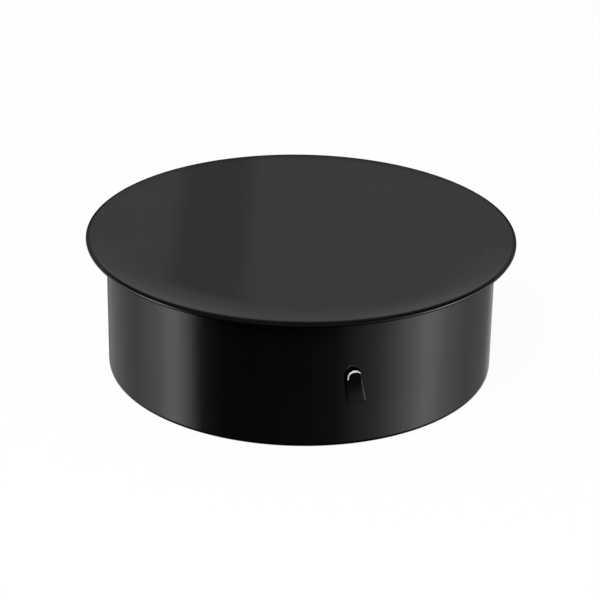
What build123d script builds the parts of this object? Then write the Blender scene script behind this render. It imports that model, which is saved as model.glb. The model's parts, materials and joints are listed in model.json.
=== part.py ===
from build123d import *
import os
from math import acos, cos, degrees, radians, sin, tan

# Push-in end cap for a round stove or flue pipe, in millimetres, with +Z up.
# The origin is the centre of the collar's lower rim, on which the cap stands.
# The front is -Y. Azimuths are in degrees, counted from the front towards +X.

# Sheet steel, the same for the lid and the collar
SHEET = 0.75

# Collar, the ring that is pushed into the pipe
COLLAR_OUTER_RADIUS = 74.5
PLUG_DEPTH = 51.0
FLANGE_BEND_RADIUS = 0.8

# Lid, which stands out past the collar and whose edge is folded round the collar's flange
LID_OVERHANG = 7.75
SEAM_GAP = 0.15
BEND_TO_HEM = 0.65

# Lap seam up the collar's back, closed by spot welds
SEAM_AZIMUTH = 180
LAP_WIDTH = 10.0
JOGGLE_LENGTH = 2.0
WELD_COUNT = 4
WELD_MARK_RADIUS = 1.8
WELD_MARK_DEPTH = 0.12

# Spring tongues, lanced out of the collar and bent outwards at their roots
TONGUE_COUNT = 3
FIRST_TONGUE_AZIMUTH = 16.3
TONGUE_ROOT_HEIGHT = 17.0
TONGUE_ROOT_WIDTH = 7.1
TONGUE_LENGTH = 13.7
TONGUE_TIP_RADIUS = 2.6
TONGUE_LEAN = 6.0
TONGUE_SPREAD = 12.0
KERF = 0.4
ROOT_KERF = 0.15

# Radii and heights that follow from the sizes above
collar_inner_radius = COLLAR_OUTER_RADIUS - SHEET
lap_inner_radius = collar_inner_radius - SHEET
collar_mid_radius = COLLAR_OUTER_RADIUS - SHEET / 2
lid_radius = COLLAR_OUTER_RADIUS + LID_OVERHANG
hem_bottom = PLUG_DEPTH
flange_bottom = hem_bottom + SHEET
flange_top = flange_bottom + SHEET
lid_top = flange_top + SHEET
wall_top = flange_bottom - FLANGE_BEND_RADIUS
bend_end_radius = COLLAR_OUTER_RADIUS + FLANGE_BEND_RADIUS
hem_inner_radius = bend_end_radius + BEND_TO_HEM
fold_radius = lid_radius - 1.5 * SHEET
fold_height = flange_bottom + SHEET / 2
flange_radius = fold_radius - SEAM_GAP


def polar(radius, angle):
    """Point in plan at a radius and an angle in degrees from +X."""
    return Vector(radius * cos(radians(angle)), radius * sin(radians(angle)))


def turned(azimuth, shape):
    """A shape modelled facing +X, turned about the cap's axis to an azimuth."""
    return shape.rotate(Axis.Z, azimuth - 90)


def revolved(outline):
    """Ring or disc from a closed outline of radius and height."""
    return revolve(Plane.XZ * make_face(outline), Axis.Z)


def make_lid():
    """Flat disc whose edge is rolled under into a hem with room for the flange."""
    inner_fold = (fold_radius + SHEET / 2, fold_height)
    outer_fold = (lid_radius, fold_height)
    outline = [
        Line((0, flange_top), (fold_radius, flange_top)),
        ThreePointArc((fold_radius, flange_top), inner_fold, (fold_radius, flange_bottom)),
        Line((fold_radius, flange_bottom), (hem_inner_radius, flange_bottom)),
        Line((hem_inner_radius, flange_bottom), (hem_inner_radius, hem_bottom)),
        Line((hem_inner_radius, hem_bottom), (fold_radius, hem_bottom)),
        ThreePointArc((fold_radius, hem_bottom), outer_fold, (fold_radius, lid_top)),
        Line((fold_radius, lid_top), (0, lid_top)),
        Line((0, lid_top), (0, flange_top)),
    ]
    return revolved(outline)


def make_wall():
    """Rolled strip in plan: one end is joggled inwards and lies behind the other."""
    joggle = degrees(JOGGLE_LENGTH / COLLAR_OUTER_RADIUS)
    lap = degrees(LAP_WIDTH / collar_inner_radius)
    outside = [
        CenterArc((0, 0), COLLAR_OUTER_RADIUS, joggle, 360 - joggle),
        Line(polar(COLLAR_OUTER_RADIUS, 0), polar(collar_inner_radius, 0)),
        Line(polar(collar_inner_radius, 0), polar(COLLAR_OUTER_RADIUS, joggle)),
    ]
    inside = [
        CenterArc((0, 0), collar_inner_radius, joggle, 360 - joggle - lap),
        Line(polar(collar_inner_radius, -lap), polar(lap_inner_radius, -lap)),
        CenterArc((0, 0), lap_inner_radius, -lap, lap),
        Line(polar(lap_inner_radius, 0), polar(collar_inner_radius, joggle)),
    ]
    section = make_face(outside) - make_face(inside)
    wall = extrude(section, wall_top)
    for mark in weld_marks(-lap / 2):
        wall -= mark
    return turned(SEAM_AZIMUTH, wall)


def weld_marks(angle):
    """Balls that leave a shallow electrode mark on each side of the lap, one above another."""
    ball_radius = (WELD_MARK_RADIUS**2 + WELD_MARK_DEPTH**2) / (2 * WELD_MARK_DEPTH)
    reach = ball_radius - WELD_MARK_DEPTH
    marks = []
    for index in range(WELD_COUNT):
        height = wall_top * (index + 0.5) / WELD_COUNT
        for radius in (COLLAR_OUTER_RADIUS + reach, lap_inner_radius - reach):
            centre = polar(radius, angle)
            marks.append(Pos(centre.X, centre.Y, height) * Sphere(ball_radius))
    return marks


def make_flange():
    """Turned-out upper edge of the collar: it stands on the wall and lies inside the lid's fold."""
    bend_centre = Vector(bend_end_radius, wall_top)
    outer_bend = bend_centre + polar(FLANGE_BEND_RADIUS, 135)
    inner_bend = bend_centre + polar(FLANGE_BEND_RADIUS + SHEET, 135)
    outline = [
        Line((collar_inner_radius, wall_top), (COLLAR_OUTER_RADIUS, wall_top)),
        ThreePointArc((COLLAR_OUTER_RADIUS, wall_top), outer_bend, (bend_end_radius, flange_bottom)),
        Line((bend_end_radius, flange_bottom), (flange_radius, flange_bottom)),
        Line((flange_radius, flange_bottom), (flange_radius, flange_top)),
        Line((flange_radius, flange_top), (bend_end_radius, flange_top)),
        ThreePointArc((bend_end_radius, flange_top), inner_bend, (collar_inner_radius, wall_top)),
    ]
    return revolved(outline)


def tangent_point(root, centre, radius, side):
    """Where a line from a root corner touches the tip circle, on its right (1) or left (-1)."""
    reach = root - centre
    swing = degrees(acos(radius / reach.length))
    return centre + reach.normalized().rotate(Axis.Z, side * swing) * radius


def tongue_prism(kerf, root_kerf):
    """Tongue's outline, grown by a kerf, cut square through the wall that faces +X."""
    tip_height = TONGUE_LENGTH - TONGUE_TIP_RADIUS
    tip_radius = TONGUE_TIP_RADIUS + kerf
    tip_centre = Vector(-tip_height * tan(radians(TONGUE_LEAN)), tip_height)
    right_root = Vector(TONGUE_ROOT_WIDTH / 2 + kerf, -root_kerf)
    left_root = Vector(-TONGUE_ROOT_WIDTH / 2 - kerf, -root_kerf)
    right_side = tangent_point(right_root, tip_centre, tip_radius, 1)
    left_side = tangent_point(left_root, tip_centre, tip_radius, -1)
    outline = [
        Line(left_root, right_root),
        Line(right_root, right_side),
        ThreePointArc(right_side, tip_centre + Vector(0, tip_radius), left_side),
        Line(left_side, left_root),
    ]
    past_wall = 2 * SHEET
    start = (collar_inner_radius - past_wall, 0, TONGUE_ROOT_HEIGHT)
    facing = Plane(origin=start, x_dir=(0, 1, 0), z_dir=(1, 0, 0))
    return extrude(facing * make_face(outline), SHEET + 2 * past_wall)


def tongue_azimuths():
    """Azimuths of the tongues, evenly spaced round the collar."""
    return [FIRST_TONGUE_AZIMUTH + 360 * index / TONGUE_COUNT for index in range(TONGUE_COUNT)]


def make_collar():
    """Rolled wall with a window behind each tongue."""
    collar = make_wall()
    window = tongue_prism(KERF, ROOT_KERF)
    for azimuth in tongue_azimuths():
        collar -= turned(azimuth, window)
    return collar


def make_tongue():
    """Piece of the wall, facing +X, turned outwards about its root."""
    strip_height = TONGUE_ROOT_HEIGHT + TONGUE_LENGTH
    strip = extrude(Circle(COLLAR_OUTER_RADIUS) - Circle(collar_inner_radius), strip_height)
    root_line = Axis((collar_mid_radius, 0, TONGUE_ROOT_HEIGHT), (0, 1, 0))
    return (strip & tongue_prism(0, 0)).rotate(root_line, TONGUE_SPREAD)


os.makedirs("parts", exist_ok=True)
export_step(make_lid(), "parts/lid.step")
export_step(make_collar(), "parts/collar.step")
export_step(make_flange(), "parts/collar_flange.step")
tongue = make_tongue()
for number, azimuth in enumerate(tongue_azimuths(), start=1):
    export_step(turned(azimuth, tongue), f"parts/spring_tongue_{number}.step")
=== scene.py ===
import json
from math import acos, atan2, cos, hypot, pi, radians, sin, tan

import bmesh
import bpy
from bpy.props import FloatProperty, FloatVectorProperty, IntProperty, PointerProperty
from bpy.types import NodeSocket, Operator, Panel, PropertyGroup
from mathutils import Matrix, Vector


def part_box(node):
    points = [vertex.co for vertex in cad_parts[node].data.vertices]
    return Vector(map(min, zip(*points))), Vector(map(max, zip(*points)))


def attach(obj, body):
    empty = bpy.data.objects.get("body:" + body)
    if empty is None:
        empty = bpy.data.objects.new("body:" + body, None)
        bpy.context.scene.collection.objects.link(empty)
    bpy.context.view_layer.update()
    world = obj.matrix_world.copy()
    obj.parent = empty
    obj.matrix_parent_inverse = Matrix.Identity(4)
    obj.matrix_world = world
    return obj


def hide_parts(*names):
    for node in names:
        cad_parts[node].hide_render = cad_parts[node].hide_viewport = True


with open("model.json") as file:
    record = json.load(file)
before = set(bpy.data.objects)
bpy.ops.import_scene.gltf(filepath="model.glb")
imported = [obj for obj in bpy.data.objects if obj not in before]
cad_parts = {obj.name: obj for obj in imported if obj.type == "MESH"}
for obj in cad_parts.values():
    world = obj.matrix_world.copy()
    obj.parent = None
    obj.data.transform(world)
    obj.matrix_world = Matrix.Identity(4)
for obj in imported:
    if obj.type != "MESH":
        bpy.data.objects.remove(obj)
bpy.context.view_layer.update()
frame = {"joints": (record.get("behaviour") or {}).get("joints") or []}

bl_info = {
    "name": "Flue Pipe Cap",
    "version": (1, 0, 0),
    "blender": (4, 5, 0),
    "location": "3D View > Sidebar > Pipe Cap",
    "description": "Black sheet-steel push-in cap for a flue pipe, on a pale studio floor",
    "category": "Add Mesh",
}

MM = 0.001
CAP_BODY = "cap"
PAINT_SLOT = "black_paint"
TONGUE_SLOT = "tongue_paint"
TONGUE_JOINTS = [joint for joint in frame["joints"] if joint["name"].startswith("tongue")]
WHITE = (1.0, 1.0, 1.0, 1.0)

# Distance within which two places count as one, and room between sheets that lie on each other
NEAR = 0.01 * MM
LAP_GAP = 0.02 * MM

# Rows in which a tongue bends, and the place of its cut edge's material
TONGUE_ROWS = 20
CUT_EDGE = 2

# Sizes that the frame gives
lid_low, lid_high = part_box("lid")
wall_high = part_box("collar")[1]
flange_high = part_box("collar_flange")[1]
sheet_size = (lid_high[2] - lid_low[2]) / 3
root_height = TONGUE_JOINTS[0]["pos_m"][2]


# Settings

def length_setting(name, description, default):
    """Property with a length in metres."""
    return FloatProperty(
        name=name, description=description, default=default, unit="LENGTH", precision=5)


def angle_setting(name, description, default):
    """Property with an angle."""
    return FloatProperty(name=name, description=description, default=radians(default), subtype="ANGLE")


def share_setting(name, description, default):
    """Property with a share between 0 and 1."""
    return FloatProperty(name=name, description=description, default=default, min=0.0, max=1.0)


def colour_setting(name, description, default):
    """Property with a colour."""
    return FloatVectorProperty(
        name=name, description=description, default=default, size=4, subtype="COLOR")


class LidSettings(PropertyGroup):
    radius: length_setting("Radius", "Outside radius of the folded rim", lid_high[0])
    top: length_setting("Top", "Height of the lid's face above the collar's lower rim", lid_high[2])
    roll_width: length_setting(
        "Roll Width", "Width of the band beside the rim that the folding draws down", 7.5 * MM)
    roll_slope: angle_setting("Roll Slope", "Slope of that band at its outer end", 3.5)
    edge_width: length_setting("Edge Width", "Width over which the band turns down into the fold", 1.6 * MM)
    edge_slope: angle_setting("Edge Slope", "Slope at which the fold starts", 25)
    fold_radius: length_setting("Fold Radius", "Outside radius of the fold's upper bend", 0.75 * MM)
    hem_width: length_setting("Hem Width", "Width of the hem under the rim", 6.3 * MM)
    segments: IntProperty(name="Segments", description="Sides of the lid's circle", default=256)


class CollarSettings(PropertyGroup):
    radius: length_setting("Radius", "Outside radius of the rolled wall", wall_high[0])
    wall_top: length_setting(
        "Wall Top", "Height at which the wall starts to turn out into its flange", wall_high[2])
    flange_height: length_setting(
        "Flange Height", "Height of the flange's underside", flange_high[2] - sheet_size)
    flange_radius: length_setting("Flange Radius", "Outside radius of the flange", flange_high[0])
    curl_height: length_setting("Curl Height", "Height over which the lower rim is drawn in", 1.2 * MM)
    curl_depth: length_setting("Curl Depth", "How far the lower rim is drawn in", 0.3 * MM)
    joggle: length_setting("Joggle", "Length over which one end steps in behind the other", 2.0 * MM)
    lap: length_setting("Lap", "Width of the lap seam", 10.0 * MM)
    weld_count: IntProperty(name="Weld Marks", description="Spot welds up the lap seam", default=4)
    weld_radius: length_setting("Weld Radius", "Radius of a spot weld's mark", 1.8 * MM)
    weld_depth: length_setting("Weld Depth", "Depth of a spot weld's mark", 0.12 * MM)


class TongueSettings(PropertyGroup):
    root_width: length_setting("Root Width", "Width of the tongue at its root", 7.25 * MM)
    length: length_setting("Length", "Length from the root to the tip", 14.0 * MM)
    tip_radius: length_setting("Tip Radius", "Radius of the rounded tip", 2.45 * MM)
    lean: angle_setting("Lean", "Angle at which the tongue leans to its left", 7.5)
    root_tilt: angle_setting("Root Tilt", "Outward angle of the tongue just above its root", 4)
    tip_tilt: angle_setting("Tip Tilt", "Outward angle of the tongue at its tip", 31)
    edge_width: length_setting("Edge Width", "Width of the sheared edge that the punch drew in", 0.35 * MM)
    edge_depth: length_setting("Edge Depth", "Depth to which the punch drew the sheared edge in", 0.18 * MM)
    kerf: length_setting("Kerf", "Room between the tongue's tip and the sides of its window", 0.75 * MM)
    window_shift: length_setting(
        "Window Shift", "How far the window's top lies to the tongue's left", 0.3 * MM)
    top_kerf: length_setting(
        "Top Kerf", "Room between the flattened tongue's tip and its window's top", 0.25 * MM)
    root_kerf: length_setting("Root Kerf", "Room between the tongue's root and its window", 0.22 * MM)


class PaintSettings(PropertyGroup):
    colour: colour_setting("Paint", "Colour of the stove paint", (0.0026, 0.0026, 0.0027, 1.0))
    inside_colour: colour_setting(
        "Inside Paint", "Colour of the thin, dull coat inside the cap", (0.070, 0.070, 0.071, 1.0))
    # Worn bare steel, given a near-white diffuse colour that is partly a painted highlight of its glint
    bare_steel_and_highlight_colour: colour_setting("Bare Steel", "Colour of the worn cut edge", (0.98, 0.98, 0.97, 1.0))
    roughness: share_setting("Roughness", "Roughness of the stove paint", 0.16)
    inside_roughness: share_setting("Inside Roughness", "Roughness of the coat inside the cap", 0.5)
    peel_size: length_setting("Orange Peel", "Width of the dimples in the dried paint", 1.2 * MM)


class StageSettings(PropertyGroup):
    floor_size: length_setting("Floor Size", "Length of the floor's sides", 6.0)
    floor_shade: share_setting("Floor Shade", "Brightness that the floor has without the lamps", 0.95)
    lamp_watts: FloatProperty(
        name="Lamp Watts", description="Power of the soft overhead lamp", default=18.0, unit="POWER")
    world_level: FloatProperty(
        name="World Level", description="Brightness of the light from all round", default=0.35, min=0.0)


# Helpers for editing meshes

def deselect_all():
    """Leaves nothing selected, so that operators act on one piece alone."""
    if bpy.context.mode != "OBJECT":
        close_mesh()
    bpy.ops.object.select_all(action="DESELECT")


def take(piece):
    """Makes a piece the only selected one."""
    deselect_all()
    piece.select_set(True)
    bpy.context.view_layer.objects.active = piece


def open_mesh(piece):
    """Opens a piece's mesh for editing."""
    take(piece)
    bpy.ops.object.mode_set(mode="EDIT")


def close_mesh():
    """Ends the editing of a mesh."""
    bpy.ops.object.mode_set(mode="OBJECT")


def started(name):
    """Names the primitive that has just been added, puts its place in its mesh and opens it for editing."""
    piece = bpy.context.active_object
    piece.name = name
    piece.data.name = name
    bpy.ops.object.transform_apply(location=True, rotation=True, scale=True)
    bpy.ops.object.mode_set(mode="EDIT")
    return piece


def select(piece, kind, test):
    """Selects only the vertices, edges or faces of the edited piece that pass a test."""
    bpy.ops.mesh.select_mode(type=kind)
    bpy.ops.mesh.select_all(action="DESELECT")
    mesh = bmesh.from_edit_mesh(piece.data)
    for item in {"VERT": mesh.verts, "EDGE": mesh.edges, "FACE": mesh.faces}[kind]:
        if test(item):
            item.select_set(True)
    mesh.select_flush_mode()
    bmesh.update_edit_mesh(piece.data)


def resize_about_axis(share, height_share=1):
    """Scales what is selected about the cap's axis, and about the height of its lower rim."""
    bpy.ops.transform.resize(value=(share, share, height_share), center_override=(0, 0, 0))


def extrude_rings(start, rings):
    """Extrudes the selected edges about the cap's axis through rings of a radius and a height."""
    radius, height = start
    for next_radius, next_height in rings:
        bpy.ops.mesh.extrude_edges_move(
            TRANSFORM_OT_translate={"value": (0, 0, next_height - height)})
        resize_about_axis(next_radius / radius)
        radius, height = next_radius, next_height


def face_outwards(piece, rank, outward):
    """Makes the normals of the edited piece agree, so that its lowest-ranked face looks outward."""
    bpy.ops.mesh.select_all(action="SELECT")
    bpy.ops.mesh.normals_make_consistent(inside=False)
    first = min(bmesh.from_edit_mesh(piece.data).faces, key=rank)
    if first.normal.dot(Vector(outward)) < 0:
        bpy.ops.mesh.flip_normals()


def steps_between(start, end, count):
    """Evenly spaced values after a start, up to and including an end."""
    return [start + (end - start) * step / count for step in range(1, count + 1)]


def from_axis(vertex):
    """Distance of a vertex from the cap's axis."""
    return hypot(vertex.co.x, vertex.co.y)


def apply_modifier(piece, kind, **settings):
    """Adds a modifier to a piece and applies it."""
    take(piece)
    modifier = piece.modifiers.new(kind.title(), kind)
    for name, value in settings.items():
        setattr(modifier, name, value)
    bpy.ops.object.modifier_apply(modifier=modifier.name)


def thicken(piece, rim_material=0):
    """Gives a skin the sheet's thickness, inwards, with the second material on its inner side."""
    apply_modifier(
        piece, "SOLIDIFY", thickness=sheet_size, offset=-1, use_even_offset=True,
        material_offset=1, material_offset_rim=rim_material)


def shade(piece):
    """Shades a piece smoothly, except over its sharp edges, with its large faces kept even."""
    take(piece)
    bpy.ops.object.shade_smooth_by_angle(angle=radians(35))
    apply_modifier(piece, "WEIGHTED_NORMAL", keep_sharp=True, weight=90)


def hand_over(piece, body, slot, *nodes):
    """Rides a finished piece on its body in place of its CAD nodes."""
    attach(piece, body)
    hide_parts(*nodes)
    deselect_all()


# Lid

def path_of(stretches):
    """Points of a path that starts level, from stretches with a length, a slope at their end and steps."""
    across, down, slope = 0.0, 0.0, 0.0
    points = []
    for length, end_slope, steps in stretches:
        for step in range(steps):
            here = slope + (end_slope - slope) * (step + 0.5) / steps
            across += length / steps * cos(here)
            down += length / steps * sin(here)
            points.append((across, down))
        slope = end_slope
    return points


def lid_profile(lid):
    """Rings of the lid's outer skin, from the start of the rolled-down band to the hem's edge."""
    points = path_of([
        (lid.roll_width, lid.roll_slope, 8),
        (lid.edge_width, lid.edge_slope, 5),
        (lid.fold_radius * (pi / 2 - lid.edge_slope), pi / 2, 8),
    ])
    width, bend_start = points[-1]
    lower_radius = lid.top - lid_low[2] - bend_start
    for turn in steps_between(0, pi / 2, 10):
        points.append((width - lower_radius * (1 - cos(turn)), bend_start + lower_radius * sin(turn)))
    roll_start = lid.radius - width
    hem_start = lid.radius - lower_radius
    hem_end = lid.radius - lid.hem_width
    rings = [(roll_start + across, lid.top - down) for across, down in points]
    rings += [(radius, lid_low[2]) for radius in steps_between(hem_start, hem_end, 3)]
    return roll_start, rings


def roll_drop(lid, radius):
    """How far the lid's face lies below its middle at a radius near the rim."""
    roll_start, rings = lid_profile(lid)
    before = (roll_start, lid.top)
    for ring in rings:
        if ring[0] >= radius:
            share = max((radius - before[0]) / (ring[0] - before[0]), 0)
            return lid.top - before[1] - share * (ring[1] - before[1])
        before = ring
    raise ValueError("radius past the rim")


def make_lid(lid, paint):
    """Flat disc whose edge is rolled down and folded under."""
    roll_start, rings = lid_profile(lid)
    deselect_all()
    bpy.ops.mesh.primitive_circle_add(
        vertices=lid.segments, radius=roll_start, fill_type="NGON", location=(0, 0, lid.top))
    piece = started("folded_lid")
    select(piece, "EDGE", lambda edge: edge.is_boundary)
    extrude_rings((roll_start, lid.top), rings)
    select(piece, "FACE", lambda face: len(face.verts) > 4)
    ring_width = 8 * MM
    for _ in range(int(roll_start / ring_width)):
        bpy.ops.mesh.inset(thickness=ring_width)
    bpy.ops.mesh.poke()
    face_outwards(piece, lambda face: -face.calc_center_median().z, (0, 0, 1))
    close_mesh()
    for build in (lid_paint, inside_paint):
        piece.data.materials.append(finish(build, paint))
    thicken(piece)
    apply_modifier(piece, "WELD", merge_threshold=NEAR)
    ease_hem(piece, lid)
    shade(piece)
    return piece


def ease_hem(piece, lid):
    """Rounds the hem's cut edge a little."""
    past_hem = lid.radius - lid.hem_width + 0.05 * MM
    under_flange = lid_low[2] + 1.2 * sheet_size

    def on_cut_edge(edge):
        ends = edge.verts
        level = abs(ends[0].co.z - ends[1].co.z) < NEAR
        return level and all(from_axis(end) < past_hem and end.co.z < under_flange for end in ends)

    open_mesh(piece)
    select(piece, "EDGE", on_cut_edge)
    bpy.ops.mesh.bevel(offset=0.12 * MM, segments=2, affect="EDGES")
    close_mesh()


# Tongue outline, shared by the tongues and their windows

def open_below_tangents(piece, tip, radius, corners):
    """Deletes the part of the tip's circle between its tangents from the two corners of the root."""
    limits = {}
    for side, corner in corners.items():
        reach = corner - tip
        limits[side] = atan2(reach.z, reach.x) + side * acos(radius / reach.length)

    def between_tangents(vertex):
        turn = atan2(vertex.co.z - tip.z, vertex.co.x - tip.x)
        return (turn - limits[-1]) % (2 * pi) < (limits[1] - limits[-1]) % (2 * pi)

    select(piece, "VERT", between_tangents)
    bpy.ops.mesh.delete(type="VERT")


def outline_facing_front(name, tongue, distance, kerfs=(0, 0, 0), shift=0):
    """Flat face with a tongue's outline, grown by kerfs at its sides, top and root, its top shifted left."""
    kerf, top_kerf, root_kerf = kerfs
    radius = tongue.tip_radius + kerf
    sway = (tongue.length - tongue.tip_radius) * tan(tongue.lean) + shift
    tip = Vector((-sway, 0, root_height + tongue.length + top_kerf - radius))
    deselect_all()
    bpy.ops.mesh.primitive_circle_add(
        vertices=72, radius=radius, fill_type="NOTHING", rotation=(pi / 2, 0, 0),
        location=(tip.x, -distance, tip.z))
    piece = started(name)
    corners = {side: Vector((side * (tongue.root_width / 2 + root_kerf), 0, root_height - root_kerf))
               for side in (1, -1)}
    open_below_tangents(piece, tip, radius, corners)
    past_root = root_height + tongue.root_width
    for side, corner in corners.items():
        select(piece, "VERT", lambda vertex: len(vertex.link_edges) == 1
               and side * (vertex.co.x - tip.x) > 0 and vertex.co.z > past_root)
        end = next(vertex.co.copy() for vertex in bmesh.from_edit_mesh(piece.data).verts if vertex.select)
        move = corner - Vector((end.x, 0, end.z))
        bpy.ops.mesh.extrude_vertices_move(TRANSFORM_OT_translate={"value": move})
    bpy.ops.mesh.select_all(action="SELECT")
    bpy.ops.mesh.edge_face_add()
    return piece


def make_window_cutter(tongue, distance):
    """Prism that cuts one tongue's window through the collar's wall at the front."""
    past_wall = 2 * sheet_size
    kerfs = (tongue.kerf, tongue.top_kerf, tongue.root_kerf)
    piece = outline_facing_front(
        "window_cutter", tongue, distance + past_wall, kerfs, tongue.window_shift)
    bpy.ops.mesh.extrude_region_move(
        TRANSFORM_OT_translate={"value": (0, 2 * past_wall + sheet_size, 0)})
    bpy.ops.mesh.select_all(action="SELECT")
    bpy.ops.mesh.normals_make_consistent(inside=False)
    close_mesh()
    return piece


def tongue_azimuths():
    """Azimuth of each tongue's joint, from the front towards +X."""
    return [atan2(joint["pos_m"][0], -joint["pos_m"][1]) for joint in TONGUE_JOINTS]


def turned_copy(piece, name, azimuth):
    """Copy of a piece with a mesh of its own, turned about the cap's axis."""
    copied = piece.copy()
    copied.data = piece.data.copy()
    copied.name = name
    copied.data.name = name
    bpy.context.collection.objects.link(copied)
    copied.rotation_euler = (0, 0, azimuth)
    take(copied)
    bpy.ops.object.transform_apply(location=False, rotation=True, scale=False)
    return copied


# Collar

def make_weld_cutters(collar, azimuth):
    """Shallow cones that press the spot welds' marks into both sides of the lap."""
    slope = 2.5
    past_face = 0.5 * MM
    height = past_face + collar.weld_depth
    foot_radius = collar.weld_radius - slope * collar.weld_depth
    lap_inside = collar.radius - 2 * sheet_size
    outward = Vector((sin(azimuth), -cos(azimuth), 0))
    cutters = []
    for index in range(collar.weld_count):
        level = Vector((0, 0, collar.wall_top * (index + 0.5) / collar.weld_count))
        for face, direction in ((collar.radius, outward), (lap_inside, -outward)):
            foot = outward * face - direction * collar.weld_depth
            deselect_all()
            bpy.ops.mesh.primitive_cone_add(
                vertices=36, radius1=foot_radius, radius2=foot_radius + slope * height, depth=height,
                location=foot + direction * height / 2 + level,
                rotation=direction.to_track_quat("Z", "X").to_euler())
            cutters.append(started("weld_cutter"))
            close_mesh()
    return cutters


def make_strip(collar):
    """Lower edge of the rolled strip: one end steps in and lies behind the other, at the back."""
    sides = round(2 * pi * collar.radius / collar.joggle)
    step = 2 * pi / sides
    deselect_all()
    bpy.ops.mesh.primitive_circle_add(
        vertices=sides, radius=collar.radius, fill_type="NOTHING", location=(0, 0, 0))
    piece = started("rolled_collar")
    close_by = 0.1 * MM
    seam = Vector((0, collar.radius, 0))
    joggle_end = Vector((-collar.radius * sin(step), collar.radius * cos(step), 0))
    double_middle = seam + joggle_end
    select(piece, "EDGE", lambda edge:
           (edge.verts[0].co + edge.verts[1].co - double_middle).length < 2 * close_by)
    bpy.ops.mesh.delete(type="EDGE")
    select(piece, "VERT", lambda vertex: (vertex.co - joggle_end).length < close_by)
    lap_radius = collar.radius - sheet_size - LAP_GAP
    place = joggle_end
    for turn in [0] + steps_between(0, collar.lap / lap_radius, 5):
        target = Vector((lap_radius * sin(turn), lap_radius * cos(turn), 0))
        bpy.ops.mesh.extrude_vertices_move(TRANSFORM_OT_translate={"value": target - place})
        place = target
    return piece


def raise_wall(piece, collar):
    """Extrudes the selected strip upwards, and draws its lowest rows in, as the shear did."""
    curl_rows = 4
    heights = steps_between(0, collar.curl_height, curl_rows)
    heights += steps_between(collar.curl_height, collar.wall_top, 6)
    level = 0
    for height in heights:
        bpy.ops.mesh.extrude_edges_move(TRANSFORM_OT_translate={"value": (0, 0, height - level)})
        level = height
    for row in range(curl_rows):
        height = collar.curl_height * row / curl_rows
        select(piece, "VERT", lambda vertex: abs(vertex.co.z - height) < NEAR)
        resize_about_axis(1 - collar.curl_depth * (1 - row / curl_rows)**2 / collar.radius)


def turn_out_flange(piece, collar):
    """Bends the wall's top outwards, except behind the lap, and returns the radii of the flat rings."""
    behind_lap = collar.radius - sheet_size / 2
    bend_radius = collar.flange_height - collar.wall_top

    def on_top(edge):
        level = all(abs(end.co.z - collar.wall_top) < NEAR for end in edge.verts)
        return level and max(from_axis(end) for end in edge.verts) > behind_lap

    rings = [(collar.radius + bend_radius * (1 - cos(turn)), collar.wall_top + bend_radius * sin(turn))
             for turn in steps_between(0, pi / 2, 6)]
    flat_radii = steps_between(collar.radius + bend_radius, collar.flange_radius, 4)
    rings += [(radius, collar.flange_height) for radius in flat_radii]
    select(piece, "EDGE", on_top)
    extrude_rings((collar.radius, collar.wall_top), rings)
    return flat_radii


def level_lower_rim(piece):
    """Flattens the rim on which the cap stands, square to its axis."""
    open_mesh(piece)
    select(piece, "FACE", lambda face: face.normal.z < -0.5 and face.calc_center_median().z < 1 * MM)
    resize_about_axis(1, height_share=0)
    close_mesh()


def press_flange(piece, collar, lid, radii):
    """Presses the flange's upper side down ring by ring, as the fold does, clear of the rolled-down lid."""
    open_mesh(piece)
    close_by = 0.2 * MM
    flange_middle = collar.flange_height + sheet_size / 2
    for radius in radii:
        select(piece, "VERT", lambda vertex: vertex.co.z > flange_middle
               and abs(from_axis(vertex) - radius) < close_by)
        bpy.ops.transform.translate(value=(0, 0, -roll_drop(lid, radius) - LAP_GAP))
    close_mesh()


def cut_openings(piece, collar, tongue):
    """Cuts the tongues' windows and the weld marks in one go."""
    window = make_window_cutter(tongue, collar.radius)
    cutters = [turned_copy(window, "window_cutter", azimuth) for azimuth in tongue_azimuths()]
    bpy.data.objects.remove(window)
    cutters += make_weld_cutters(collar, pi - collar.lap / 2 / collar.radius)
    deselect_all()
    for cutter in cutters:
        cutter.select_set(True)
    bpy.context.view_layer.objects.active = cutters[0]
    bpy.ops.object.join()
    joined = bpy.context.active_object
    apply_modifier(piece, "BOOLEAN", object=joined, operation="DIFFERENCE", solver="EXACT")
    bpy.data.objects.remove(joined)


def make_collar(collar, lid, tongue, paint):
    """Rolled wall with its flange, a window behind each tongue and the marks of its spot welds."""
    piece = make_strip(collar)
    bpy.ops.mesh.select_all(action="SELECT")
    raise_wall(piece, collar)
    flange_radii = turn_out_flange(piece, collar)

    def lowest_in_front(face):
        middle = face.calc_center_median()
        return round(middle.z, 3), middle.y

    face_outwards(piece, lowest_in_front, (0, -1, 0))
    close_mesh()
    for build in (collar_paint, inside_paint):
        piece.data.materials.append(finish(build, paint))
    thicken(piece)
    press_flange(piece, collar, lid, flange_radii)
    level_lower_rim(piece)
    apply_modifier(
        piece, "BEVEL", width=0.1 * MM, segments=2, limit_method="ANGLE", angle_limit=radians(40))
    cut_openings(piece, collar, tongue)
    shade(piece)
    return piece


# Tongues

def mark_sheared_ring(piece, tongue):
    """Insets a ring along the flat tongue's outline and gives its cut edge's material to it."""
    bpy.ops.mesh.select_all(action="SELECT")
    bpy.ops.mesh.inset(thickness=tongue.edge_width)
    past_root = root_height + tongue.edge_width
    left_side = -tongue.root_width / 2 + tongue.edge_width
    tip_start = root_height + tongue.length - tongue.tip_radius

    def sheared(face):
        top = max(vertex.co.z for vertex in face.verts)
        on_left = max(vertex.co.x for vertex in face.verts) < left_side and top < tip_start
        return any(edge.is_boundary for edge in face.edges) and top > past_root and not on_left

    select(piece, "FACE", sheared)
    piece.active_material_index = CUT_EDGE
    bpy.ops.object.material_slot_assign()


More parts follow.
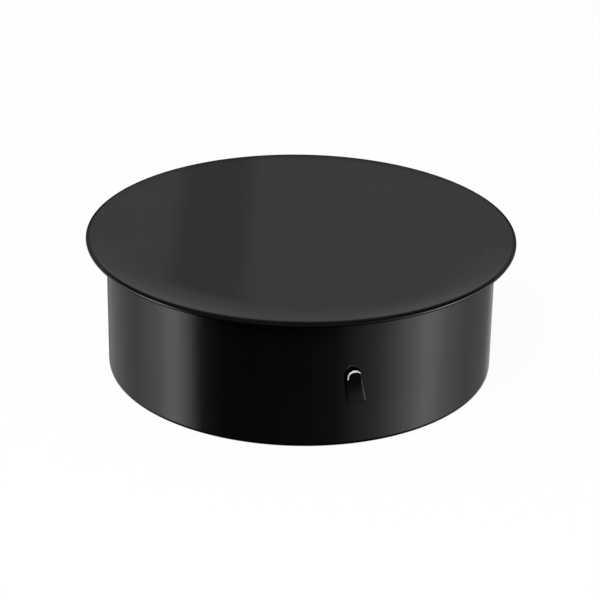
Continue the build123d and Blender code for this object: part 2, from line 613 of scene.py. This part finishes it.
def cut_grid(tongue):
    """Cuts the flat tongue into rows, in which it bends, and into columns."""
    columns = 3
    column_width = 1 * MM
    cuts = [((0, 0, root_height + tongue.length * row / TONGUE_ROWS), (0, 0, 1))
            for row in range(1, TONGUE_ROWS)]
    cuts += [((column * column_width, 0, 0), (1, 0, 0)) for column in range(-columns, columns + 1)]
    for place, normal in cuts:
        bpy.ops.mesh.select_all(action="SELECT")
        bpy.ops.mesh.bisect(plane_co=place, plane_no=normal)


def roll_outline(piece, tongue, distance):
    """Rolls the flat tongue to the collar's curve and draws its sheared edges in."""
    close_mesh()
    apply_modifier(piece, "CAST", cast_type="CYLINDER", factor=1, use_radius_as_size=False, size=distance)
    open_mesh(piece)

    def drawn_in(vertex):
        marked = any(face.material_index == CUT_EDGE for face in vertex.link_faces)
        return vertex.is_boundary and marked and vertex.co.z > root_height + tongue.edge_width

    select(piece, "VERT", drawn_in)
    resize_about_axis(1 - tongue.edge_depth / distance)


def bend_rows(piece, tongue, distance):
    """Bends the tongue outwards, row by row from the tip down, more and more towards the tip."""
    curl = 2.6
    past_level = 0.05 * MM

    def tilt(share):
        return tongue.root_tilt + (tongue.tip_tilt - tongue.root_tilt) * share**curl

    open_mesh(piece)
    for row in reversed(range(TONGUE_ROWS)):
        level = root_height + tongue.length * row / TONGUE_ROWS
        select(piece, "VERT", lambda vertex: vertex.co.z > level + past_level)
        here = tilt((row + 0.5) / TONGUE_ROWS)
        before = tilt((row - 0.5) / TONGUE_ROWS) if row else 0.0
        bpy.ops.transform.rotate(
            value=before - here, orient_axis="X", orient_type="GLOBAL",
            center_override=(0, -distance, level))
    close_mesh()


def mark_wear_and_highlight(piece, tongue):
    """Stores each point's height in mm above the line where the bare edge ends, and its thin paint on the
    right side, which lets steel through as a painted highlight line.
    """
    worn_left = 4.3 * MM
    worn_right = 1.2 * MM
    right_side = 0.8
    fade_in = 1 / 8
    tip_x = -(tongue.length - tongue.tip_radius) * tan(tongue.lean)
    wear = piece.data.attributes.new("wear_height", "FLOAT", "POINT")
    thin = piece.data.attributes.new("thin_paint_highlight", "FLOAT", "POINT")
    top = max(vertex.co.z for vertex in piece.data.vertices)
    for vertex, wear_item, thin_highlight_item in zip(piece.data.vertices, wear.data, thin.data):
        side = min(max((vertex.co.x - tip_x) / (2 * tongue.tip_radius) + 0.5, 0), 1)
        worn = worn_left + (worn_right - worn_left) * side
        wear_item.value = (vertex.co.z - (top - worn)) / MM
        above_root = (vertex.co.z - root_height) / tongue.length
        # Thin paint up the right side: a painted highlight line along that edge
        thin_highlight_item.value = min(max(above_root / fade_in, 0), 1) if side > right_side else 0


def make_tongue(tongue, paint, distance):
    """One tongue, facing the front."""
    piece = outline_facing_front("sprung_tongue", tongue, distance)
    for build in (tongue_face_paint, inside_paint, cut_edge):
        piece.data.materials.append(finish(build, paint))
    mark_sheared_ring(piece, tongue)
    cut_grid(tongue)
    roll_outline(piece, tongue, distance)
    face_outwards(piece, lambda face: face.calc_center_median().z, (0, -1, 0))
    close_mesh()
    thicken(piece, rim_material=CUT_EDGE)
    bend_rows(piece, tongue, distance)
    mark_wear_and_highlight(piece, tongue)
    shade(piece)
    return piece


# Helpers for materials

def set_inputs(tree, node, inputs):
    """Links each named input of a node to a socket, or sets it to a value."""
    for name, value in inputs.items():
        if isinstance(value, NodeSocket):
            tree.links.new(value, node.inputs[name])
        else:
            node.inputs[name].default_value = value


def add_node(tree, kind, inputs=None, **settings):
    """Adds a node with its settings and inputs."""
    made = tree.nodes.new(kind)
    for name, value in settings.items():
        setattr(made, name, value)
    set_inputs(tree, made, inputs or {})
    return made


def map_range(tree, value, source, target=(0.0, 1.0), interpolation="LINEAR"):
    """Output that runs over the target range while the value runs over the source range."""
    made = add_node(
        tree, "ShaderNodeMapRange",
        {"Value": value, "From Min": source[0], "From Max": source[1],
         "To Min": target[0], "To Max": target[1]}, interpolation_type=interpolation)
    return made.outputs["Result"]


def fade(tree, value, source, target=(0.0, 1.0)):
    """The same as map_range, with a soft start and end."""
    return map_range(tree, value, source, target, "SMOOTHSTEP")


def vary(tree, share, target):
    """Output that runs over the target range while a share runs from 0 to 1."""
    return map_range(tree, share, (0.0, 1.0), target)


def calculate(tree, operation, first, second=0.0):
    """Output of a Math node."""
    made = add_node(tree, "ShaderNodeMath", {0: first, 1: second}, operation=operation)
    return made.outputs["Value"]


def mix_colours(tree, share, first, second):
    """Output of a Mix node between two colours."""
    made = add_node(tree, "ShaderNodeMix", {0: share, 6: first, 7: second}, data_type="RGBA")
    return made.outputs[2]


def times(colour, share):
    """Colour at a share of its brightness."""
    return tuple(share * part for part in colour[:3]) + (1.0,)


def distance_from_origin(tree, place):
    """Output with the length of a place's vector."""
    return add_node(tree, "ShaderNodeVectorMath", {0: place}, operation="LENGTH").outputs["Value"]


def separate(tree, place):
    """Outputs with a vector's X, Y and Z."""
    return add_node(tree, "ShaderNodeSeparateXYZ", {"Vector": place}).outputs


def new_group(name, numbers):
    """Shader group with a vector input, named number inputs and one output, or None if it exists."""
    if name in bpy.data.node_groups:
        return None
    group = bpy.data.node_groups.new(name, "ShaderNodeTree")
    group.interface.new_socket(name="Vector", in_out="INPUT", socket_type="NodeSocketVector")
    for title, value in numbers.items():
        socket = group.interface.new_socket(name=title, in_out="INPUT", socket_type="NodeSocketFloat")
        socket.default_value = value
    group.interface.new_socket(name="Value", in_out="OUTPUT", socket_type="NodeSocketFloat")
    return group


def use_group(tree, name, place, **numbers):
    """Output of a group that is placed in a material with its own values."""
    inputs = {"Vector": place}
    for title, value in numbers.items():
        inputs[title.replace("_", " ").title()] = value
    made = add_node(tree, "ShaderNodeGroup", inputs, node_tree=bpy.data.node_groups[name])
    return made.outputs["Value"]


def make_noise_group(name, scale, detail, roughness, source, stretch=(1.0, 1.0, 1.0)):
    """Noise with so many features to the metre, whose values over a source range become 0 to 1."""
    group = new_group(name, {"Per Metre": scale})
    if not group:
        return
    entry = group.nodes.new("NodeGroupInput").outputs
    drawn_out = add_node(
        group, "ShaderNodeVectorMath", {0: entry["Vector"], 1: stretch}, operation="MULTIPLY")
    noise = add_node(group, "ShaderNodeTexNoise", {
        "Vector": drawn_out.outputs["Vector"], "Scale": entry["Per Metre"],
        "Detail": detail, "Roughness": roughness})
    add_node(group, "NodeGroupOutput", {"Value": map_range(group, noise.outputs["Fac"], source)})


def make_speck_group():
    """Mask of a few tiny round specks."""
    group = new_group("specks", {"Per Metre": 120.0, "Share": 0.14, "Size": 0.09})
    if not group:
        return
    entry = group.nodes.new("NodeGroupInput").outputs
    cells = add_node(group, "ShaderNodeTexVoronoi", {
        "Vector": entry["Vector"], "Scale": entry["Per Metre"]})
    colour = add_node(group, "ShaderNodeSeparateColor", {"Color": cells.outputs["Color"]})
    near = calculate(group, "SUBTRACT", 1.0, calculate(
        group, "DIVIDE", cells.outputs["Distance"], entry["Size"]))
    chosen = calculate(group, "LESS_THAN", colour.outputs["Red"], entry["Share"])
    add_node(group, "NodeGroupOutput", {
        "Value": calculate(group, "MULTIPLY", fade(group, near, (0.0, 0.5)), chosen)})


def make_groups():
    """Builds the shared effects: sprayed dimples, clouds in the coat, rolling streaks and specks."""
    make_noise_group("orange_peel", 800.0, 2.0, 0.45, (0.0, 1.0))
    make_noise_group("paint_mottle", 20.0, 4.0, 0.55, (0.3, 0.7))
    make_noise_group("rolling_streaks", 150.0, 3.0, 0.6, (0.3, 0.7), stretch=(1.0, 1.0, 0.03))
    make_speck_group()


def peel_normal(tree, place, paint, strength, extra_height=0.0):
    """Normal of the dried paint's surface."""
    height = use_group(tree, "orange_peel", place, per_metre=1 / paint.peel_size)
    height = calculate(tree, "ADD", height, extra_height)
    bump = add_node(tree, "ShaderNodeBump", {
        "Strength": strength, "Distance": 0.02 * MM, "Height": height})
    return bump.outputs["Normal"]


def finish(build, paint):
    """Material named after the function that gives its shader's inputs, made only once."""
    name = build.__name__
    if name in bpy.data.materials:
        return bpy.data.materials[name]
    make_groups()
    material = bpy.data.materials.new(name)
    material.use_nodes = True
    tree = material.node_tree
    place = tree.nodes.new("ShaderNodeTexCoord").outputs["Object"]
    set_inputs(tree, tree.nodes["Principled BSDF"], build(tree, place, paint))
    return material


# Finishes

def lid_glaze(tree, place):
    """Gloss coat of the lid: thick but for a band between two spray passes, and at the front of the rim."""
    band_x = -34.0 * MM
    axes = separate(tree, place)
    off_band = calculate(tree, "ABSOLUTE", calculate(tree, "SUBTRACT", axes["X"], band_x))
    on_passes = fade(tree, off_band, (8.0 * MM, 20.0 * MM), (0.0, 0.42))
    at_rim = fade(tree, distance_from_origin(tree, place), (84.5 * MM, 90.0 * MM), (0.0, 0.54))
    at_front = fade(tree, axes["Y"], (-20.0 * MM, 10.0 * MM), (1.0, 0.0))
    return calculate(tree, "MAXIMUM", on_passes, calculate(tree, "MULTIPLY", at_rim, at_front))


def lid_paint(tree, place, paint):
    """Semi-gloss stove paint of the lid, a little dusty on its face."""
    mottle = use_group(tree, "paint_mottle", place, per_metre=28.0)
    height = separate(tree, place)["Z"]
    on_face = fade(tree, height, (lid_high[2] - 0.42 * MM, lid_high[2] - 0.24 * MM))
    dust = calculate(tree, "MULTIPLY", on_face, vary(tree, mottle, (0.7, 1.0)))
    return {
        "Base Color": mix_colours(tree, dust, paint.colour, times(paint.colour, 3.5)),
        "Roughness": vary(tree, mottle, (paint.roughness - 0.015, paint.roughness + 0.015)),
        "Coat Weight": lid_glaze(tree, place),
        "Coat Roughness": paint.roughness,
        "Specular IOR Level": 0.32,
        "Normal": peel_normal(tree, place, paint, 0.35),
    }


def collar_paint(tree, place, paint):
    """Semi-gloss stove paint of the collar, with rolling streaks and a few specks."""
    mottle = use_group(tree, "paint_mottle", place, per_metre=45.0)
    streaks = use_group(tree, "rolling_streaks", place)
    specks = use_group(tree, "specks", place)
    blend = calculate(tree, "MULTIPLY", calculate(tree, "ADD", mottle, streaks), 0.5)
    roughness = vary(tree, blend, (paint.roughness - 0.02, paint.roughness + 0.02))
    return {
        "Base Color": mix_colours(tree, blend, times(paint.colour, 0.6), times(paint.colour, 1.5)),
        "Roughness": calculate(tree, "ADD", roughness, calculate(tree, "MULTIPLY", specks, 0.6)),
        "Normal": peel_normal(tree, place, paint, 0.35, calculate(tree, "MULTIPLY", specks, 2.0)),
    }


def inside_paint(tree, place, paint):
    """Thin, dull coat inside the cap, uneven where the spray reached it badly."""
    mottle = use_group(tree, "paint_mottle", place, per_metre=35.0)
    grains = use_group(tree, "orange_peel", place, per_metre=2500.0)
    blend = calculate(tree, "ADD", calculate(tree, "MULTIPLY", mottle, 0.6),
                      calculate(tree, "MULTIPLY", grains, 0.4))
    roughness = (paint.inside_roughness - 0.08, paint.inside_roughness + 0.12)
    return {
        "Base Color": mix_colours(tree, blend, paint.inside_colour, times(paint.inside_colour, 1.9)),
        "Roughness": vary(tree, blend, roughness),
        "Normal": peel_normal(tree, place, paint, 0.6),
    }


def tongue_face_paint(tree, place, paint):
    """The collar's paint on the tongues' outer faces."""
    mottle = use_group(tree, "paint_mottle", place, per_metre=160.0)
    return {
        "Base Color": mix_colours(tree, mottle, times(paint.colour, 1.2), times(paint.colour, 2.4)),
        "Roughness": vary(tree, mottle, (paint.roughness, paint.roughness + 0.05)),
        "Normal": peel_normal(tree, place, paint, 0.35),
    }


def cut_edge(tree, place, paint):
    """Sheared edge of a tongue, painted but worn to bare steel at the tip, whose near-white colour is partly
    a painted highlight.
    """
    ragged = use_group(tree, "paint_mottle", place, per_metre=900.0)
    height = add_node(tree, "ShaderNodeAttribute", attribute_name="wear_height").outputs["Fac"]
    line = calculate(tree, "ADD", height, vary(tree, ragged, (-0.5, 0.5)))
    # Thin paint on the right side lets a little steel through, as a painted highlight line
    thin = add_node(tree, "ShaderNodeAttribute", attribute_name="thin_paint_highlight").outputs["Fac"]
    thin = calculate(tree, "MULTIPLY", thin, vary(tree, ragged, (0.0, 0.03)))
    # Worn bare steel at the tip, in a near-white colour that is partly a painted highlight
    bare = calculate(tree, "MAXIMUM", fade(tree, line, (-0.15, 0.25)), thin)
    return {
        "Base Color": mix_colours(tree, bare, times(paint.colour, 2.0), paint.bare_steel_and_highlight_colour),
        "Metallic": vary(tree, bare, (0.0, 0.06)),
        "Roughness": vary(tree, bare, (0.32, 0.45)),
        "Normal": peel_normal(tree, place, paint, 0.5),
    }


# Stage

# Brightness of the studio's reflectors below the horizon, by azimuth in degrees from the front towards +X
REFLECTOR_LEVELS = (
    (-172, 0.06), (-155, 0.36), (-112, 0.43), (-92, 0.92), (-90, 1.00), (-78, 1.86), (-69, 1.26),
    (-60, 0.10), (-45, 0.0), (0, 0.0), (22, 0.05), (46, 0.44), (62, 1.10), (80, 1.86), (94, 0.96),
    (114, 0.42), (140, 0.27), (150, 0.30), (160, 0.52), (172, 0.30), (180, 0.05))
# Brightness above the horizon, by angle in degrees from the back over the top to the front
CANOPY_LEVELS = (
    (0, 0.01), (14, 0.03), (19, 0.20), (27, 0.23), (31, 0.34), (35, 0.42), (41, 0.26), (47, 0.08),
    (80, 0.02), (180, 0.01))
# Brightness of the pale ring a little above the horizon
RING_LEVEL = 0.22
# Heights over which each light comes or goes, as the Z of the direction from the middle
WALL_START = (-0.63, -0.53)
WALL_BOOST = (-0.36, -0.28)
WALL_END = (-0.14, -0.04)
RING_START = (0.12, 0.27)
RING_END = (0.45, 0.65)
FLANK_START = (0.46, 0.52)
# Distances aside over which they come or go, as the X of that direction without its sign
CANOPY_END = (0.2, 0.5)
FLANK_SIDE = (0.03, 0.11)
RING_SIDE = (0.3, 0.55)


def emission(tree, colour, strength):
    """Output of an Emission shader."""
    made = add_node(tree, "ShaderNodeEmission", {"Color": colour, "Strength": strength})
    return made.outputs[0]


def surface_material(name, build):
    """Material whose surface is what a function builds in its tree at a place."""
    material = bpy.data.materials.new(name)
    material.use_nodes = True
    tree = material.node_tree
    tree.nodes.clear()
    place = tree.nodes.new("ShaderNodeTexCoord").outputs["Object"]
    add_node(tree, "ShaderNodeOutputMaterial", {"Surface": build(tree, place)})
    return material


def ramp_of(tree, factor, stops):
    """Colour ramp through stops of a position and a level, and the level that its white stands for."""
    peak = max(level for _, level in stops)
    ramp = add_node(tree, "ShaderNodeValToRGB", {"Fac": factor})
    elements = ramp.color_ramp.elements
    while len(elements) > 1:
        elements.remove(elements[-1])
    for index, (position, level) in enumerate(sorted(stops)):
        element = elements[0] if index == 0 else elements.new(position)
        element.position = position
        element.color = times(WHITE, level / peak)
    return ramp.outputs["Color"], peak


def turn_factor(tree, across, along):
    """Angle between two coordinates, from 0 to 1 over a full turn that starts at the negative first one."""
    plane = add_node(tree, "ShaderNodeCombineXYZ", {"X": across, "Y": along})
    gradient = add_node(
        tree, "ShaderNodeTexGradient", {"Vector": plane.outputs["Vector"]}, gradient_type="RADIAL")
    return gradient.outputs["Fac"]


def wall_light(tree, axes):
    """Soft boxes round the sides, brightest just below the horizon."""
    stops = [(((azimuth + 90) / 360) % 1, level) for azimuth, level in REFLECTOR_LEVELS]
    stops.append((1.0, dict(REFLECTOR_LEVELS)[-90]))
    levels, peak = ramp_of(tree, turn_factor(tree, axes["X"], axes["Y"]), stops)
    boost = calculate(tree, "MULTIPLY", levels, fade(tree, axes["Z"], WALL_BOOST, (0.0, 4.5 * peak)))
    strength = calculate(tree, "ADD", boost, fade(tree, axes["Z"], WALL_START, (0.0, peak)))
    return emission(tree, levels, strength)


def canopy_light(tree, axes, aside):
    """Panel behind and overhead, brightest in the middle."""
    stops = [(0.5 + angle / 360, level) for angle, level in CANOPY_LEVELS]
    levels, peak = ramp_of(tree, turn_factor(tree, axes["Y"], axes["Z"]), stops)
    central = fade(tree, aside, CANOPY_END, (peak, 0.06 * peak))
    flank = calculate(tree, "MULTIPLY", fade(tree, aside, FLANK_SIDE, (0.0, 0.6)),
                      fade(tree, axes["Z"], FLANK_START))
    strength = calculate(tree, "MULTIPLY", central, calculate(tree, "ADD", flank, 1.0))
    return emission(tree, levels, strength)


def ring_light(tree, axes, aside):
    """Pale ring a little above the horizon, except straight behind."""
    level = calculate(tree, "SUBTRACT", fade(tree, axes["Z"], RING_START, (0.0, RING_LEVEL)),
                      fade(tree, axes["Z"], RING_END, (0.0, RING_LEVEL)))
    off_back = calculate(tree, "MAXIMUM", fade(tree, axes["Y"], (0.3, 0.7), (1.0, 0.0)),
                         fade(tree, aside, RING_SIDE))
    return emission(tree, WHITE, calculate(tree, "MULTIPLY", level, off_back))


def reflector_surface(tree, place):
    """Light that only the paint's gloss sees: soft boxes at the sides, black in front, pale above."""
    direction = add_node(tree, "ShaderNodeVectorMath", {0: place}, operation="NORMALIZE")
    axes = separate(tree, direction.outputs["Vector"])
    aside = calculate(tree, "ABSOLUTE", axes["X"])
    sky = add_node(tree, "ShaderNodeAddShader", {
        0: canopy_light(tree, axes, aside), 1: ring_light(tree, axes, aside)})
    mixed = add_node(tree, "ShaderNodeMixShader", {
        0: fade(tree, axes["Z"], WALL_END), 1: wall_light(tree, axes), 2: sky.outputs[0]})
    return mixed.outputs[0]


def floor_surface(tree, place, stage):
    """Near-white floor that keeps a faint shadow and is clear from below; under the cap it loses its glow,
    as painted shade.
    """
    grain = add_node(tree, "ShaderNodeTexNoise", {"Vector": place, "Scale": 60.0})
    share = 1 - stage.floor_shade
    tone = mix_colours(tree, grain.outputs["Fac"], times(WHITE, 0.98 * share), times(WHITE, 1.02 * share))
    shaded = add_node(tree, "ShaderNodeBsdfDiffuse", {"Color": tone})
    # Painted shade: inside the collar's radius the floor has no glow and is near-black
    cap_edge = (wall_high[0] - sheet_size, wall_high[0])
    glow = map_range(tree, distance_from_origin(tree, place), cap_edge, (0.0, stage.floor_shade))
    lit = add_node(tree, "ShaderNodeAddShader", {0: shaded.outputs[0], 1: emission(tree, WHITE, glow)})
    clear = tree.nodes.new("ShaderNodeBsdfTransparent")
    back = tree.nodes.new("ShaderNodeNewGeometry").outputs["Backfacing"]
    mixed = add_node(tree, "ShaderNodeMixShader", {
        0: back, 1: lit.outputs[0], 2: clear.outputs[0]})
    return mixed.outputs[0]


def hide_from(piece, *rays):
    """Hides a piece of the stage from some kinds of rays."""
    for kind in rays:
        setattr(piece, f"visible_{kind}", False)


def make_floor(stage):
    """Floor just under the cap's lower rim."""
    deselect_all()
    bpy.ops.mesh.primitive_plane_add(size=stage.floor_size, location=(0, 0, -0.02 * MM))
    floor = started("floor")
    bpy.ops.mesh.subdivide(number_cuts=3)
    close_mesh()
    floor.data.materials.append(
        surface_material("pale_floor", lambda tree, place: floor_surface(tree, place, stage)))
    hide_from(floor, "glossy", "diffuse")


def make_inner_shade():
    """Dark disc under the cap, which keeps the reflectors' light out of its inside."""
    deselect_all()
    bpy.ops.mesh.primitive_circle_add(
        vertices=64, radius=wall_high[0] - sheet_size / 2, fill_type="NGON", location=(0, 0, -0.04 * MM))
    disc = started("inner_shade")
    bpy.ops.mesh.inset(thickness=wall_high[0] / 2)
    close_mesh()
    disc.data.materials.append(
        surface_material("inner_shade", lambda tree, place: emission(tree, WHITE, 0.02)))
    hide_from(disc, "camera", "diffuse", "shadow", "transmission")


def make_reflectors():
    """Round studio tent that only glossy rays see."""
    deselect_all()
    bpy.ops.mesh.primitive_uv_sphere_add(segments=48, ring_count=24, radius=3.0, location=(0, 0, 0))
    tent = started("reflector_tent")
    bpy.ops.mesh.flip_normals()
    close_mesh()
    tent.data.materials.append(surface_material("reflectors", reflector_surface))
    hide_from(tent, "camera", "diffuse", "shadow", "transmission")


def make_lamp(stage):
    """Soft lamp overhead."""
    deselect_all()
    bpy.ops.object.light_add(type="AREA", location=(-0.25, -0.85, 1.0))
    lamp = bpy.context.active_object
    lamp.name = "overhead_lamp"
    lamp.data.shape = "DISK"
    lamp.data.size = 1.2
    lamp.data.energy = stage.lamp_watts
    lamp.rotation_euler = (-lamp.location).to_track_quat("-Z", "Y").to_euler()
    hide_from(lamp, "glossy")


def make_world(stage):
    """White for what looks past the floor, and a plain level of light for the object."""
    world = bpy.data.worlds.new("studio")
    bpy.context.scene.world = world
    world.use_nodes = True
    tree = world.node_tree
    tree.nodes.clear()
    rays = tree.nodes.new("ShaderNodeLightPath").outputs
    seen = calculate(tree, "MAXIMUM", rays["Is Camera Ray"], rays["Is Glossy Ray"])
    seen = calculate(tree, "MAXIMUM", seen, rays["Is Transmission Ray"])
    light = add_node(tree, "ShaderNodeBackground", {
        "Color": WHITE, "Strength": vary(tree, seen, (stage.world_level, 1.0))})
    add_node(tree, "ShaderNodeOutputWorld", {"Surface": light.outputs[0]})


def make_camera():
    """Camera at the photograph's place: straight in front, a little above, slightly rolled."""
    elevation = radians(25.0)
    roll = radians(0.94)
    distance = 831.5 * MM
    target = Vector((-0.05, 0, 23.73)) * MM
    back = Vector((0, -cos(elevation), sin(elevation)))
    level_up = Vector((0, sin(elevation), cos(elevation)))
    side = Vector((1, 0, 0))
    right = cos(roll) * side + sin(roll) * level_up
    up = cos(roll) * level_up - sin(roll) * side
    bpy.ops.object.camera_add()
    camera = bpy.context.active_object
    camera.name = "camera"
    camera.matrix_world = Matrix.Translation(target + back * distance) @ Matrix(
        (right, up, back)).transposed().to_4x4()
    camera.data.lens = 128.33
    camera.data.sensor_width = 36.0
    camera.data.clip_start = 0.01
    bpy.context.scene.camera = camera


class CAP_OT_folded_lid(Operator):
    """Models the lid with its folded rim"""
    bl_idname = "cap.folded_lid"
    bl_label = "Folded Lid"

    def execute(self, context):
        piece = make_lid(context.scene.cap_lid, context.scene.cap_paint)
        hand_over(piece, CAP_BODY, PAINT_SLOT, "lid")
        return {"FINISHED"}


class CAP_OT_rolled_collar(Operator):
    """Models the rolled collar with its flange, windows and lap seam"""
    bl_idname = "cap.rolled_collar"
    bl_label = "Rolled Collar"

    def execute(self, context):
        scene = context.scene
        piece = make_collar(scene.cap_collar, scene.cap_lid, scene.cap_tongue, scene.cap_paint)
        hand_over(piece, CAP_BODY, PAINT_SLOT, "collar", "collar_flange")
        return {"FINISHED"}


class CAP_OT_sprung_tongues(Operator):
    """Models one sprung tongue and copies it round the collar"""
    bl_idname = "cap.sprung_tongues"
    bl_label = "Sprung Tongues"

    def execute(self, context):
        scene = context.scene
        first = make_tongue(scene.cap_tongue, scene.cap_paint, scene.cap_collar.radius)
        for number, azimuth in enumerate(tongue_azimuths(), start=1):
            piece = turned_copy(first, f"sprung_tongue_{number}", azimuth)
            hand_over(piece, f"tongue_{number}", TONGUE_SLOT, f"spring_tongue_{number}")
        bpy.data.objects.remove(first)
        return {"FINISHED"}


class CAP_OT_stage(Operator):
    """Sets up the pale floor, the soft light and the camera"""
    bl_idname = "cap.stage"
    bl_label = "Stage"

    def execute(self, context):
        stage = context.scene.cap_stage
        context.scene.view_settings.view_transform = "Standard"
        make_floor(stage)
        make_inner_shade()
        make_reflectors()
        make_lamp(stage)
        make_world(stage)
        make_camera()
        return {"FINISHED"}


class CAP_PT_panel(Panel):
    """Lists the cap's pieces"""
    bl_idname = "CAP_PT_panel"
    bl_label = "Flue Pipe Cap"
    bl_space_type = "VIEW_3D"
    bl_region_type = "UI"
    bl_category = "Pipe Cap"

    def draw(self, context):
        for operator in OPERATORS:
            self.layout.operator(operator.bl_idname)
        for owner, group in SETTINGS.items():
            box = self.layout.box()
            for name in group.__annotations__:
                box.prop(getattr(context.scene, owner), name)


SETTINGS = {
    "cap_lid": LidSettings,
    "cap_collar": CollarSettings,
    "cap_tongue": TongueSettings,
    "cap_paint": PaintSettings,
    "cap_stage": StageSettings,
}
OPERATORS = (CAP_OT_folded_lid, CAP_OT_rolled_collar, CAP_OT_sprung_tongues, CAP_OT_stage)


def register():
    for owner, group in SETTINGS.items():
        bpy.utils.register_class(group)
        setattr(bpy.types.Scene, owner, PointerProperty(type=group))
    for shown in OPERATORS + (CAP_PT_panel,):
        bpy.utils.register_class(shown)


def unregister():
    for shown in reversed(OPERATORS + (CAP_PT_panel,)):
        bpy.utils.unregister_class(shown)
    for owner, group in SETTINGS.items():
        delattr(bpy.types.Scene, owner)
        bpy.utils.unregister_class(group)


def main():
    """Builds the whole scene."""
    register()
    bpy.ops.cap.folded_lid()
    bpy.ops.cap.rolled_collar()
    bpy.ops.cap.sprung_tongues()
    bpy.ops.cap.stage()


if __name__ == "__main__":
    main()
